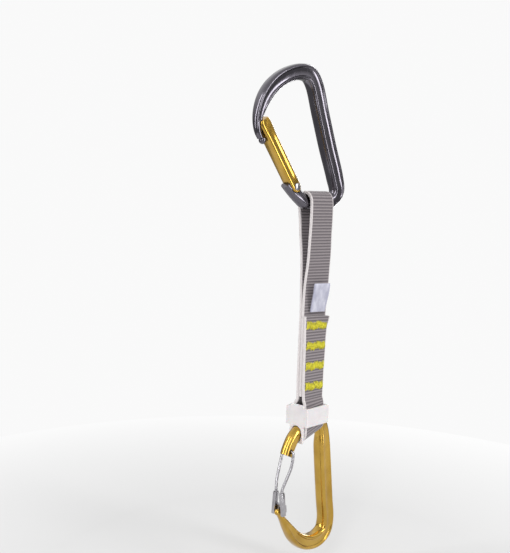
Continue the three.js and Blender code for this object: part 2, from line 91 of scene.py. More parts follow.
def plane_matrix(origin, yaw, tilt, local):
    """From millimetres in a carabiner's own plane (x, y through it, z) to metres in the frame."""
    return (Matrix.Translation(origin) @ Matrix.Rotation(yaw, 4, "Z") @ Matrix.Rotation(-tilt, 4, "Y")
            @ Matrix.Scale(MM, 4) @ Matrix.Translation((-local[0], 0, -local[1])))


place_top = plane_matrix(saddle, TOP_YAW, TOP_TILT, TOP_SADDLE)
place_low = plane_matrix(low_saddle, 0, LOW_TILT, LOW_SADDLE)

# ---- camera, floor and light ----------------------------------------------------------
CAMERA_AZIMUTH = -47 * DEG
CAMERA_PITCH = 6.14 * DEG
CAMERA_ROLL = 1.8 * DEG
CAMERA_LENS = 55.34                # the whole pack is seen from about 0.6 m
SENSOR_WIDTH = 36
CAMERA_PLACE = Vector((-0.4521, -0.383, -0.0721))


def make_camera():
    data = bpy.data.cameras.new("camera")
    data.lens = CAMERA_LENS
    data.sensor_width = SENSOR_WIDTH
    camera = bpy.data.objects.new("camera", data)
    camera.matrix_world = (
        Matrix.Translation(CAMERA_PLACE) @ Matrix.Rotation(CAMERA_AZIMUTH, 4, "Z")
        @ Matrix.Rotation(math.pi / 2 - CAMERA_PITCH, 4, "X") @ Matrix.Rotation(CAMERA_ROLL, 4, "Z"))
    bpy.context.scene.collection.objects.link(camera)
    bpy.context.scene.camera = camera
    bpy.context.scene.view_settings.view_transform = "Standard"


make_camera()

# ---- shape tools: everything below is drawn in millimetres ------------------------------
WHOLE = Matrix.Scale(MM, 4)        # for pieces already drawn where they lie


def new_piece(name, points, faces, uvs=None):
    mesh = bpy.data.meshes.new(name)
    mesh.from_pydata([tuple(p) for p in points], [], faces)
    if uvs is not None:
        layer = mesh.uv_layers.new(name="cloth")
        for loop in mesh.loops:
            layer.data[loop.index].uv = uvs[loop.vertex_index]
    mesh.validate()
    piece = bpy.data.objects.new(name, mesh)
    bpy.context.scene.collection.objects.link(piece)
    return piece


def loft(name, rings, uvs=None):
    """A closed solid through rings of points, all with the same number of points."""
    size = len(rings[0])
    faces = []
    for row in range(len(rings) - 1):
        here, there = row * size, (row + 1) * size
        for k in range(size):
            after = (k + 1) % size
            faces.append((here + k, here + after, there + after, there + k))
    last = (len(rings) - 1) * size
    faces.append(tuple(reversed(range(size))))
    faces.append(tuple(range(last, last + size)))
    points = [p for ring in rings for p in ring]
    flat_uvs = None if uvs is None else [uv for ring in uvs for uv in ring]
    return face_outwards(new_piece(name, points, faces, flat_uvs))


def face_outwards(piece):
    work = bmesh.new()
    work.from_mesh(piece.data)
    bmesh.ops.recalc_face_normals(work, faces=work.faces)
    work.to_mesh(piece.data)
    work.free()
    return piece


def spline(rows, per_span):
    """A smooth curve through rows of numbers, spaced by the first three (centripetal)."""
    rows = np.array(rows, dtype=float)
    rows = np.vstack([2 * rows[0] - rows[1], rows, 2 * rows[-1] - rows[-2]])
    line = []
    for a, b, c, d in zip(rows, rows[1:], rows[2:], rows[3:]):
        before, span, after = [math.sqrt(np.linalg.norm((q - p)[:3])) for p, q in ((a, b), (b, c), (c, d))]
        leave = span * ((b - a) / before - (c - a) / (before + span) + (c - b) / span)
        reach = span * ((c - b) / span - (d - b) / (span + after) + (d - c) / after)
        for t in np.arange(per_span) / per_span:
            line.append((2 * t**3 - 3 * t**2 + 1) * b + (t**3 - 2 * t**2 + t) * leave
                        + (3 * t**2 - 2 * t**3) * c + (t**3 - t**2) * reach)
    line.append(rows[-2])
    return np.array(line)


def directions(line):
    steps = np.gradient(line, axis=0)
    return steps / np.linalg.norm(steps, axis=1, keepdims=True)


def tube(name, line, radius, sides=12):
    """A round wire or thread along a line of points."""
    line = np.array(line, dtype=float)
    along = directions(line)
    side = np.cross(along[0], (0.31, 0.52, 0.8))
    rings = []
    for middle, way in zip(line, along):
        side = side - way * np.dot(side, way)
        side = side / np.linalg.norm(side)
        other = np.cross(way, side)
        rings.append([middle + radius * (math.cos(a) * side + math.sin(a) * other)
                      for a in np.arange(sides) * 2 * math.pi / sides])
    return loft(name, rings)


def box(x0, x1, y0, y1, z0, z1):
    corners = [(x, y, z) for z in (z0, z1) for x, y in ((x0, y0), (x1, y0), (x1, y1), (x0, y1))]
    return loft("tool", [corners[:4], corners[4:]])


def pin(x, z, radius, y0, y1, sides=40):
    """A round pin lying through the carabiner's plane."""
    rings = [[(x + radius * math.cos(a), y, z + radius * math.sin(a))
              for a in np.arange(sides) * 2 * math.pi / sides] for y in (y0, y1)]
    return loft("tool", rings)


def ball(x, z, radius, rows=14, sides=28):
    rings = []
    for row in range(rows + 1):
        tip = min(max(row * math.pi / rows, 0.02), math.pi - 0.02)
        rings.append([(x + radius * math.sin(tip) * math.cos(a), radius * math.cos(tip),
                       z + radius * math.sin(tip) * math.sin(a))
                      for a in np.arange(sides) * 2 * math.pi / sides])
    return loft("tool", rings)


def settle(piece):
    """Makes the piece's modifiers permanent."""
    bpy.context.view_layer.update()
    graph = bpy.context.evaluated_depsgraph_get()
    mesh = bpy.data.meshes.new_from_object(piece.evaluated_get(graph))
    piece.modifiers.clear()
    piece.data = mesh
    return piece


def combine(piece, operation, tools):
    for tool in tools:
        step = piece.modifiers.new(operation, "BOOLEAN")
        step.operation = operation
        step.solver = "EXACT"
        step.object = tool
    settle(piece)
    for tool in tools:
        bpy.data.objects.remove(tool)
    return piece


def moved(piece, matrix):
    piece.data.transform(matrix)
    return piece


def finished(piece, body, material, stands_for, place=WHOLE, sharp=35 * DEG):
    """Puts a drawn piece into the frame, on its body, with its material."""
    piece.data.transform(place)
    piece.data.materials.clear()
    piece.data.materials.append(material)
    piece.data.polygons.foreach_set("use_smooth", [True] * len(piece.data.polygons))
    piece.data.set_sharp_from_angle(angle=sharp)
    if body:
        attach(piece, body)
    if stands_for:
        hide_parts(*stands_for)
    return piece

# ---- materials -----------------------------------------------------------------------------
COLOUR_A, COLOUR_B, COLOUR_RESULT = 6, 7, 2     # the colour sockets of a Mix node


class Recipe:
    """One node material, written from the shader backwards."""

    def __init__(self, name, **surface):
        self.material = bpy.data.materials.new(name)
        self.material.use_nodes = True
        self.tree = self.material.node_tree
        self.shader = self.tree.nodes["Principled BSDF"]
        self.set(self.shader, surface)

    def set(self, node, inputs):
        """Joins each input to another node's output, or gives it a plain value."""
        for name, value in inputs.items():
            socket = node.inputs[name.replace("_", " ") if isinstance(name, str) else name]
            if isinstance(value, bpy.types.NodeSocket):
                self.tree.links.new(value, socket)
                continue
            if socket.type == "RGBA":
                value = (*value, 1)
            socket.default_value = value

    def node(self, kind, output=0, settings=(), **inputs):
        node = self.tree.nodes.new("ShaderNode" + kind)
        for name, value in dict(settings).items():
            setattr(node, name, value)
        self.set(node, inputs)
        return node.outputs[output]

    def place(self):
        return self.node("TexCoord", output="Object")

    def cloth_uv(self):
        """x is across the cloth and y along it, in millimetres."""
        return self.node("UVMap", settings={"uv_map": "cloth"})

    def stretched(self, vector, scale):
        node = self.tree.nodes.new("ShaderNodeMapping")
        self.tree.links.new(vector, node.inputs["Vector"])
        node.inputs["Scale"].default_value = scale
        return node.outputs[0]

    def noise(self, vector, scale, detail=3.0):
        return self.node("TexNoise", Vector=vector, Scale=scale, Detail=detail)

    def maths(self, operation, a, b=0.0):
        node = self.tree.nodes.new("ShaderNodeMath")
        node.operation = operation
        self.set(node, {0: a, 1: b})
        return node.outputs[0]

    def between(self, value, low, high, to_low, to_high):
        node = self.tree.nodes.new("ShaderNodeMapRange")
        self.set(node, {"Value": value, "From Min": low, "From Max": high,
                        "To Min": to_low, "To Max": to_high})
        return node.outputs[0]

    def blend(self, factor, a, b):
        node = self.tree.nodes.new("ShaderNodeMix")
        node.data_type = "RGBA"
        self.set(node, {"Factor": factor, COLOUR_A: a, COLOUR_B: b})
        return node.outputs[COLOUR_RESULT]

    def bump(self, height, strength, distance):
        return self.node("Bump", Height=height, Strength=strength, Distance=distance)

    def done(self, **surface):
        self.set(self.shader, surface)
        return self.material


# linear red, green and blue
GREY_RIB = (0.245, 0.215, 0.225)
# painted shade: the web's colour in the grooves between its ribs, much darker than on the ribs
GROOVE_PAINTED_SHADE = (0.08, 0.07, 0.078)
GREY_WORN = (0.36, 0.325, 0.33)
PALE_EDGE = (0.72, 0.68, 0.68)
PALE_SHADE = (0.54, 0.50, 0.50)
THREAD_LIGHT = (0.72, 0.66, 0.03)
THREAD_DARK = (0.40, 0.36, 0.012)
TAG_LIGHT = (0.60, 0.60, 0.68)
TAG_SHADE = (0.38, 0.38, 0.47)
TAG_STRIPE = (0.34, 0.34, 0.46)
RUBBER_LIGHT = (0.68, 0.655, 0.66)
RUBBER_SHADE = (0.62, 0.59, 0.60)


def metal(name, light, dark, roughness, coat):
    """Polished metal with faint drawn lines, handling marks and slightly uneven colour."""
    recipe = Recipe(name, Metallic=1.0, Coat_Weight=coat, Coat_Roughness=0.1)
    place = recipe.place()
    cloudy = recipe.noise(place, 90.0)
    scratches = recipe.noise(recipe.stretched(place, (500.0, 500.0, 80.0)), 1.0, 2.0)
    return recipe.done(
        Base_Color=recipe.blend(recipe.between(cloudy, 0.3, 0.7, 0.0, 1.0), dark, light),
        Roughness=recipe.between(scratches, 0.3, 0.75, roughness, roughness + 0.12),
        Normal=recipe.bump(cloudy, 0.05, 0.0002))


def anodised(name, light, dark, roughness):
    """Dyed, polished aluminium under a clear coat, the dye taken up slightly unevenly."""
    recipe = Recipe(name, Metallic=1.0, Coat_Weight=0.35, Coat_Roughness=0.06)
    place = recipe.place()
    cloudy = recipe.noise(place, 70.0)
    scratches = recipe.noise(recipe.stretched(place, (420.0, 420.0, 60.0)), 1.0, 2.0)
    return recipe.done(
        Base_Color=recipe.blend(recipe.between(cloudy, 0.3, 0.7, 0.0, 1.0), dark, light),
        Roughness=recipe.between(scratches, 0.3, 0.75, roughness, roughness + 0.1),
        Normal=recipe.bump(cloudy, 0.05, 0.0002))


RIB_PITCH = 2.1                    # the cross ribs of the webbing
SELVEDGE = 1.1                     # its pale edge band, measured on the face


def webbing(half_width):
    recipe = Recipe("webbing", Roughness=0.86, Specular_IOR_Level=0.25, Sheen_Weight=0.25,
                    Sheen_Roughness=0.5)
    across, along = [recipe.node("SeparateXYZ", output=axis, Vector=recipe.cloth_uv()) for axis in (0, 1)]
    turn = recipe.maths("MULTIPLY", along, 2 * math.pi / RIB_PITCH)
    rib = recipe.maths("COSINE", turn)
    warp = recipe.maths("SINE", recipe.maths("MULTIPLY", across, 2 * math.pi / 0.75))
    checker = recipe.maths("MULTIPLY", warp, recipe.maths("SINE", recipe.maths("MULTIPLY", along, 2.2)))
    fuzz = recipe.noise(recipe.stretched(recipe.cloth_uv(), (3.0, 9.0, 1.0)), 1.0, 4.0)
    # painted shade: the web is drawn dark in the grooves between its ribs, where the ribs would shade it
    grey = recipe.blend(recipe.between(rib, -0.8, 0.75, 0.0, 1.0), GROOVE_PAINTED_SHADE, GREY_RIB)
    mottled = recipe.blend(recipe.between(fuzz, 0.35, 0.7, 0.0, 0.3), grey, GREY_WORN)
    edge = recipe.between(recipe.maths("ABSOLUTE", across), half_width - SELVEDGE,
                          half_width - SELVEDGE + 0.35, 0.0, 1.0)
    pale = recipe.blend(recipe.between(fuzz, 0.3, 0.7, 0.0, 1.0), PALE_SHADE, PALE_EDGE)
    height = recipe.maths("ADD", recipe.maths("MULTIPLY", checker, 0.35), fuzz)
    return recipe.done(Base_Color=recipe.blend(edge, mottled, pale),
                       Normal=recipe.bump(height, 0.55, 0.00012))


def sewing_thread():
    recipe = Recipe("thread", Roughness=0.5)
    place = recipe.place()
    strand = recipe.noise(recipe.stretched(place, (900.0, 900.0, 500.0)), 1.0)
    return recipe.done(
        Base_Color=recipe.blend(recipe.between(strand, 0.35, 0.7, 0.0, 1.0), THREAD_DARK, THREAD_LIGHT),
        Normal=recipe.bump(recipe.noise(place, 2600.0), 0.4, 0.00008))


def tag_cloth():
    recipe = Recipe("tag_cloth", Roughness=0.7, Sheen_Weight=0.3, Specular_IOR_Level=0.3)
    across, along = [recipe.node("SeparateXYZ", output=axis, Vector=recipe.cloth_uv()) for axis in (0, 1)]
    weave = recipe.maths("MULTIPLY", recipe.maths("SINE", recipe.maths("MULTIPLY", across, 16.0)),
                         recipe.maths("SINE", recipe.maths("MULTIPLY", along, 16.0)))
    creased = recipe.noise(recipe.stretched(recipe.cloth_uv(), (0.25, 0.12, 1.0)), 1.0)
    stripe = recipe.between(recipe.maths("ABSOLUTE", across), 4.9, 5.2, 0.0, 0.45)
    cloth = recipe.blend(recipe.between(creased, 0.35, 0.7, 0.0, 1.0), TAG_SHADE, TAG_LIGHT)
    height = recipe.maths("ADD", recipe.maths("MULTIPLY", weave, 0.15), creased)
    return recipe.done(Base_Color=recipe.blend(stripe, cloth, TAG_STRIPE),
                       Normal=recipe.bump(height, 0.5, 0.0002))


def soft_rubber():
    recipe = Recipe("keeper_rubber", Roughness=0.5, Subsurface_Weight=0.15, Subsurface_Scale=0.002,
                    Specular_IOR_Level=0.35)
    place = recipe.place()
    grain = recipe.noise(place, 1500.0)
    soiled = recipe.noise(place, 160.0)
    return recipe.done(
        Base_Color=recipe.blend(recipe.between(soiled, 0.4, 0.75, 0.0, 1.0), RUBBER_LIGHT, RUBBER_SHADE),
        Roughness=recipe.between(soiled, 0.3, 0.7, 0.42, 0.6),
        Normal=recipe.bump(grain, 0.15, 0.0001))


# ---- forged bars ---------------------------------------------------------------------------
# A quarter of each section: depth in the carabiner's plane, then thickness across it.
BEAM = np.array([(1, 0), (0.99, 0.3), (0.96, 0.56), (0.88, 0.8), (0.77, 0.95), (0.66, 1), (0.56, 0.98),
                 (0.5, 0.9), (0.46, 0.82), (0.4, 0.775), (0, 0.76)])
OVAL_DEGREES = np.array([0, 12, 24, 36, 48, 57, 64, 69, 73, 77, 90]) * DEG
OVAL = np.column_stack([np.cos(OVAL_DEGREES), np.sin(OVAL_DEGREES)])


def bar_section(groove):
    """The whole outline, for a bar between a plain oval (0) and a grooved beam (1)."""
    quarter = OVAL + (BEAM - OVAL) * min(max(groove, 0), 1)
    half = np.vstack([quarter, quarter[-2::-1] * (-1, 1)])
    return np.vstack([half, half[-2:0:-1] * (1, -1)])


def forged_bar(stations, grow=0.0, per_span=10):
    """stations: x, z, depth, thickness, groove along the middle of the bar."""
    rows = [(x, 0, z, deep, thick, groove) for x, z, deep, thick, groove in stations]
    line = spline(rows, per_span)
    rings = []
    for row, way in zip(line, directions(line[:, :3])):
        middle, deep, thick, groove = row[:3], row[3] / 2 + grow, row[4] / 2 + grow, row[5]
        across = np.array((way[2], 0, -way[0]))
        rings.append([middle + across * d * deep + (0, t * thick, 0) for d, t in bar_section(groove)])
    return loft("tool", rings)


def around(centre, degrees):
    x, z, radius = centre
    return x + radius * math.cos(degrees * DEG), z + radius * math.sin(degrees * DEG)


ROD = (9.5, 9.0)                   # depth and thickness of each bar under the sling
GAP = 0.3
THROUGH = 9                        # far enough to cut right through any bar or gate
TOP_CORNER = (-15, 15, 10.2)       # centre x, centre z, radius of the middle line
TOP_CROWN = (-17, 87, 11.25)


def along_saddle(distance):
    return (TOP_SADDLE[0] - distance * math.cos(TOP_TILT), TOP_SADDLE[1] + distance * math.sin(TOP_TILT))


TOP_BAR = [
    (-48.8, 30, 9, 8.6, 0.2), (-44.6, 22.4, 9.4, 8.6, 0.2), (-40.4, 15.6, 9.5, 9, 0),
    (*along_saddle(10.4), *ROD, 0), (*along_saddle(0), *ROD, 0), (*along_saddle(-10.2), *ROD, 0),
    (*around(TOP_CORNER, -66), *ROD, 0.2), (*around(TOP_CORNER, -30), 10.4, 9.2, 0.6),
    (-5.2, 20, 11, 9.4, 1), (-5.75, 42, 11.5, 9.4, 1), (-5.75, 66, 11.5, 9.4, 1),
    (*around(TOP_CROWN, 0), 11.5, 9.4, 1), (*around(TOP_CROWN, 42), 11.5, 9.4, 1),
    (*around(TOP_CROWN, 84), 11, 9.4, 1), (-27, 99, 10.4, 9.4, 1), (-36.4, 97.4, 10, 9.2, 1),
    (-44.8, 94, 9.4, 9, 1), (-52, 88.8, 8.6, 8.6, 0.9), (-58, 82, 7, 7.8, 0.6),
    (-61.6, 75.6, 5.2, 6.4, 0.2), (-62.7, 70, 4.3, 5.4, 0), (-61.9, 65.4, 3.8, 5, 0)]
NOSE_BALL = (-60.4, 63.4, 2.7)
NOSE_STATIONS = 6                  # how much of the end of the bar goes into the gate

LOW_CORNER = (-13.6, -10, 8)
LOW_CROWN = (-17, -83.5, 11)
LOW_BAR = [
    (-46, -18.6, 9.4, 7.6, 0.3), (-42.4, -13.4, 9.8, 7.6, 0.4), (-37.6, -8.2, 9.6, 8.4, 0.2),
    (-31.5, -5.1, *ROD, 0), (*LOW_SADDLE, *ROD, 0), (-13.8, -2.1, *ROD, 0),
    (*around(LOW_CORNER, 45), *ROD, 0.2), (-5.5, -12, 9.8, 9.2, 0.4), (-5.9, -24, 11.4, 9.4, 1),
    (-6, -45, 12, 9.4, 1), (-6, -66, 12, 9.4, 1), (*around(LOW_CROWN, 0), 12, 9.4, 1),
    (*around(LOW_CROWN, -45), 12, 9.4, 1), (*around(LOW_CROWN, -90), 11.8, 9.4, 1),
    (-26, -93.6, 11.4, 9.4, 1), (-35, -89.4, 10.8, 9.4, 1), (-42.6, -82.2, 9.4, 9, 1),
    (-48.6, -73, 7, 8, 0.7), (-53.4, -64.6, 4.6, 6.4, 0.2), (-57.3, -58.4, 3, 4, 0)]
LOW_BALL = (-58, -57, 2.4)

# ---- the top carabiner's frame and its solid gate ------------------------------------------
GATE_LENGTH = 53
GATE_LEAN = math.atan2(-0.261, 0.965)
GATE_HALF_DEEP = 4.1
GATE_HALF_THICK = 4.5
RIVET_RADIUS = 1.6
TONGUE_THICK = 3.2
TONGUE_RADIUS = 3.3
BORE_RADIUS = 2.1
TONGUE_ROOT = (3.2, 6.5)           # half its width where it joins the frame, and how deep it starts
BORE_DEPTH = 30
NOSE_SLOT_HALF = 3.2
GATEWAY = (12, 14)                 # how far the cut for the gate's foot reaches past the pivot
GATE_CORNER = 1.9
LEAST_FLAT = 0.3                   # always left beside a rounded corner of the gate
FOLLOWER_FOOT = TONGUE_RADIUS + GAP
gate_place = Matrix.Translation((TOP_PIVOT[0], 0, TOP_PIVOT[1])) @ Matrix.Rotation(GATE_LEAN, 4, "Y")
into_gate = gate_place.inverted()


def top_frame():
    x, z = TOP_PIVOT
    reach = GATE_HALF_DEEP + GAP
    frame_bar = combine(forged_bar(TOP_BAR), "DIFFERENCE", [
        pin(x, z, reach, -THROUGH, THROUGH),
        moved(box(-reach, GATEWAY[0], -THROUGH, THROUGH, 0, GATEWAY[1]), gate_place)])
    half = TONGUE_THICK / 2
    frame_bar = combine(frame_bar, "UNION", [
        ball(*NOSE_BALL),
        pin(x, z, TONGUE_RADIUS, -half, half),
        moved(box(-TONGUE_ROOT[0], TONGUE_ROOT[0], -half, half, -TONGUE_ROOT[1], 0), gate_place)])
    frame_bar = combine(frame_bar, "DIFFERENCE", [pin(x, z, RIVET_RADIUS + GAP, -THROUGH, THROUGH)])
    frame_bar.name = "top_frame"
    return frame_bar


FLUTE = ((0.8, 0), (0.5, 0.75), (0.2, 1), (-0.2, 1), (-0.5, 0.75), (-0.8, 0))   # place, depth


def gate_ring(z, half_deep, flute):
    """A rounded box with a shallow flute down each broad face."""
    a = max(half_deep - GATE_CORNER, LEAST_FLAT)
    b = GATE_HALF_THICK - GATE_CORNER
    bend = min(GATE_CORNER, half_deep - LEAST_FLAT)
    ring = []
    for cx, cy, start in ((a, b, 0), (-a, b, 90), (-a, -b, 180), (a, -b, 270)):
        for turn in range(0, 91, 15):
            angle = (start + turn) * DEG
            ring.append([cx + bend * math.cos(angle), cy + bend * math.sin(angle), z])
        if start in (0, 180):
            side = 1 if start == 0 else -1
            for share, sunk in FLUTE:
                ring.append([side * a * share, side * (GATE_HALF_THICK - flute * sunk), z])
    return ring


def top_gate():
    half = GATE_HALF_DEEP
    outline = [(-half, 1.2, 0), (-3.4, 2.6, 0), (-1.6, 3.8, 0), (1, half, 0), (6, half, 0),
               (9, half, 0.3), (38, half, 0.3), (41, half, 0), (45, half + 0.4, 0),
               (50, half + 0.4, 0), (52.4, half, 0), (GATE_LENGTH, half - 0.6, 0)]
    gate = loft("top_gate_bar", [gate_ring(*row) for row in outline])
    slot = TONGUE_THICK / 2 + GAP
    ball_x, _, ball_z = into_gate @ Vector((NOSE_BALL[0], 0, NOSE_BALL[1]))
    bore = moved(pin(0, 0, BORE_RADIUS, 0, BORE_DEPTH), Matrix.Rotation(90 * DEG, 4, "X"))
    grown_ball = (*NOSE_BALL[:2], NOSE_BALL[2] + GAP)
    return combine(gate, "DIFFERENCE", [
        box(-THROUGH, THROUGH, -slot, slot, -THROUGH, FOLLOWER_FOOT + 0.6),
        bore,
        pin(0, 0, RIVET_RADIUS + GAP, -THROUGH, THROUGH),
        moved(forged_bar(TOP_BAR[-NOSE_STATIONS:], GAP + 0.1), into_gate),
        moved(ball(*grown_ball), into_gate),
        box(-THROUGH, ball_x, -NOSE_SLOT_HALF, NOSE_SLOT_HALF, ball_z, GATE_LENGTH + 2)])


def gate_rivet():
    """The shank with a low domed head on each side."""
    x, z = TOP_PIVOT
    face = GATE_HALF_THICK + GAP
    profile = [(0.05, face + 0.62), (1.1, face + 0.56), (1.9, face + 0.36), (2.4, face + 0.08),
               (2.5, face), (RIVET_RADIUS, face), (RIVET_RADIUS, -face), (2.5, -face),
               (2.4, -face - 0.08), (1.9, -face - 0.36), (1.1, -face - 0.56), (0.05, -face - 0.62)]
    rings = [[(x + radius * math.cos(a), y, z + radius * math.sin(a))
              for a in np.arange(40) * 2 * math.pi / 40] for radius, y in profile]
    return loft("gate_rivet", rings)


# ---- the lower carabiner's frame and its wire gate -----------------------------------------
WIRE_RADIUS = 1.05
WIRE_OFFSET = 0.8
WIRE_HOLE = 1.65
OFFSET_WAY = (0.58, 0.81)          # the way from the pivot to the far wire's end, in x and z
HOLE_WALL_HALF = 0.9               # half the metal left between the two wire holes
YOKE_TOP = (-55.4, 2.75, -43)
YOKE_LOW = (-57, 4.4, -59)
SLEEVE_HALF_TOP = (1.8, 1.75)      # half the sleeve's size in x and y
SLEEVE_HALF_LOW = (1.9, 1.5)
SLEEVE_BORE = ((-55, 2.34, -39), (-55.5, 2.855, -44), (-56, 3.37, -49))
SLEEVE_SQUARENESS = 0.55           # 1 is round, nearer 0 is square
BRIDGE = (-55.4, -53.4, -4.6, 4.6, -57.6, -52.4)      # joins the two sleeves: x, y, z limits
YOKE_EDGE = 0.35


def wire_end(side):
    return (LOW_PIVOT[0] + side * OFFSET_WAY[0] * WIRE_OFFSET,
            LOW_PIVOT[1] + side * OFFSET_WAY[1] * WIRE_OFFSET)


def low_frame():
    holes = [pin(*wire_end(-1), WIRE_HOLE, -THROUGH, -HOLE_WALL_HALF),
             pin(*wire_end(1), WIRE_HOLE, HOLE_WALL_HALF, THROUGH)]
    frame_bar = combine(forged_bar(LOW_BAR), "UNION", [ball(*LOW_BALL)])
    frame_bar = combine(frame_bar, "DIFFERENCE", holes)
    frame_bar.name = "low_frame"
    return frame_bar


def gate_wire(side):
    x, z = wire_end(side)
    stops = [(x, 1.3, z), (x, 3.6, z), (x - 0.1, 5, z - 0.9), (x - 0.6, 5.35, z - 4),
             (-47.2, 5.3, -26.5), (-52, 4.2, -34.5), (-54.7, 3, -40.2), YOKE_TOP, (-55.9, 3.27, -48)]
    line = spline([(a, side * b, c) for a, b, c in stops], 10)
    return tube("gate_wire_near" if side < 0 else "gate_wire_far", line, WIRE_RADIUS, 18)


def squared(wave):
    """Pushes a sine or cosine outwards, so that a circle becomes a rounded square."""
    return math.copysign(abs(wave) ** SLEEVE_SQUARENESS, wave)


def gate_yoke():
    def cheek(side):
        """One flattened sleeve, softly square in section, crimped on its wire."""
        rings = []
        for (x, y, z), (half_x, half_y) in ((YOKE_TOP, SLEEVE_HALF_TOP), (YOKE_LOW, SLEEVE_HALF_LOW)):
            rings.append([(x + squared(math.cos(a)) * half_x, side * y + squared(math.sin(a)) * half_y, z)
                          for a in np.arange(32) * 2 * math.pi / 32])
        return loft("tool", rings)

    def bore(side):
        return tube("tool", [(x, side * y, z) for x, y, z in SLEEVE_BORE], WIRE_RADIUS + GAP, 24)

    yoke = combine(cheek(-1), "UNION", [cheek(1), box(*BRIDGE)])
    yoke.name = "gate_yoke"
    combine(yoke, "DIFFERENCE", [bore(-1), bore(1)])
    edges = yoke.modifiers.new("edges", "BEVEL")
    edges.width = YOKE_EDGE
    edges.segments = 3
    edges.limit_method = "ANGLE"
    edges.angle_limit = 35 * DEG
    return settle(yoke)


# ---- the sling: one strap, sewn into a loop at each end ---------------------------------------
WEB_WIDTH = 20.4
WEB_THICK = 2.4
SLING_LENGTH = 177
LOOP_INSIDE = 5.4
LOOP_MIDDLE = LOOP_INSIDE + WEB_THICK / 2
SLACK = 0.4
SADDLE_MM = saddle / MM
TOP_LOOP_Z = SADDLE_MM.z + SLACK
LOW_LOOP_Z = TOP_LOOP_Z + 2 * (LOOP_INSIDE + WEB_THICK) - SLING_LENGTH
PLY_STEP = WEB_THICK + GAP
FRONT_Y = -PLY_STEP / 2
BACK_Y = PLY_STEP / 2
LAP_Y = FRONT_Y - PLY_STEP
LAP_TOP_Z = -163.5
SEWN_END_Z = -221
LOW_SLANT = math.tan(17 * DEG)
# the hanging sling is a little twisted and bowed: height, degrees of turn, sideways shift
HANG_SHAPE = np.array([
    (-78, -9, 0), (-100, -9, 1.2), (-122, -12, 2.4), (-145, -18, 2.2), (-163, -14, 1.6),
    (-185, -8, 0.6), (-208, -5, 0), (-228, -1, 0), (-260, 0, 0)])


def eased(part):
    part = min(max(part, 0), 1)
    return part * part * (3 - 2 * part)


def hung(point):
    """Where a point of the straight sling lies once it hangs twisted, bowed and slanted."""
    x, y, z = point
    after = int(np.argmax(HANG_SHAPE[:, 0] <= z)) if z < HANG_SHAPE[0, 0] else 1
    above, below = HANG_SHAPE[after - 1], HANG_SHAPE[after]
    part = eased((z - above[0]) / (below[0] - above[0]))
    turn, shift = above[1:] + (below[1:] - above[1:]) * part
    slant = LOW_SLANT * (1 - eased((z - LOW_LOOP_Z - 5) / (SEWN_END_Z - LOW_LOOP_Z - 5)))
    c, s = math.cos(turn * DEG), math.sin(turn * DEG)
    return (SADDLE_MM.x + shift + x * c - y * s, SADDLE_MM.y + x * s + y * c, z + x * slant)


def arc(z, start, stop, count):
    """Part of a loop, as (y, z) points round the middle of the web."""
    return [(LOOP_MIDDLE * math.cos(a * DEG), z + LOOP_MIDDLE * math.sin(a * DEG))
            for a in np.linspace(start, stop, count)]


def strap_path():
    """The middle of the web from the lap's cut end to the end hidden beneath it."""
    end = SEWN_END_Z - GAP
    sewn = (-168, -183, -203)
    loose = [(1.9, -148), (3.3, -130), (4.9, -110), (6, -94)]
    return [
        (LAP_Y, LAP_TOP_Z), *[(LAP_Y, z) for z in sewn], (LAP_Y, end), (LAP_Y, end - 1.5),
        (-5.2, end - 5), (-6.5, LOW_LOOP_Z + 8), *arc(LOW_LOOP_Z, 176, 364, 8),
        (6.3, LOW_LOOP_Z + 8), (3.6, end - 5), (BACK_Y, end - 1.5), (BACK_Y, end),
        *[(BACK_Y, z) for z in reversed(sewn)], (BACK_Y, -158), *loose,
        *arc(TOP_LOOP_Z, -2, 182, 9), *[(-y, z) for y, z in reversed(loose)], (FRONT_Y, -158),
        *[(FRONT_Y, z) for z in sewn], (FRONT_Y, SEWN_END_Z)]


def evenly(line, pitch):
    """The same curve with a point about every pitch, and how far along each point is."""
    reach = np.concatenate([[0], np.cumsum(np.linalg.norm(np.diff(line, axis=0), axis=1))])
    at = np.linspace(0, reach[-1], int(reach[-1] / pitch) + 1)
    return np.column_stack([np.interp(at, reach, line[:, k]) for k in range(3)]), at


# across the web from edge to edge: share of the half width, share of the half thickness
EDGE = [(1, 0), (0.996, 0.42), (0.985, 0.72), (0.965, 0.93), (0.93, 1)]
WEB_SIDE = EDGE + [(share, 1) for share in (0.8, 0.6, 0.4, 0.2, 0, -0.2, -0.4, -0.6, -0.8)]
WEB_SECTION = WEB_SIDE + [(-u, v) for u, v in reversed(EDGE)]
WEB_OUTLINE = WEB_SECTION + [(u, -v) for u, v in WEB_SECTION[-2:0:-1]]
RIB_DEPTH = 0.16
CURL_LIFT = 2.2                    # one corner of the lap's cut end curls away from the strap
CURL_LENGTH = 9


def strap():
    """A flat woven strap with raised cross ribs between two smooth selvedges."""
    line, reach = evenly(spline([(0, y, z) for y, z in strap_path()], 24), RIB_PITCH / 5)
    rings, uvs = [], []
    for middle, way, along in zip(line, directions(line), reach):
        out = np.array((0, -way[2], way[1]))
        rib = RIB_DEPTH * 0.5 * (1 - math.cos(2 * math.pi * along / RIB_PITCH))
        ring, places = [], []
        for u, v in WEB_OUTLINE:
            sunk = rib if abs(u) < 1 - SELVEDGE / (WEB_WIDTH / 2) else 0
            lift = v * (WEB_THICK / 2 - sunk)
            curl = CURL_LIFT * max(u, 0) ** 2 * (1 - eased(along / CURL_LENGTH))
            ring.append(hung(middle + (u * WEB_WIDTH / 2, -curl, 0) + out * lift))
            places.append((u * WEB_WIDTH / 2, along))
        rings.append(ring)
        uvs.append(places)
    return loft("sling_strap", rings, uvs)


TACK_FIRST_Z = -170
TACK_PITCH = 14.6
TACK_HIGH = 5.4
TACK_WIDE = 17.6
TACK_STRANDS = 30
THREAD_RADIUS = 0.34
THREAD_SUNK = 0.25                 # how far each turn of the thread dips into the web
THREAD_ARCH = ((0.15, 0.3), (0.5, 0.5), (0.85, 0.3))   # share of one strand, height above the web


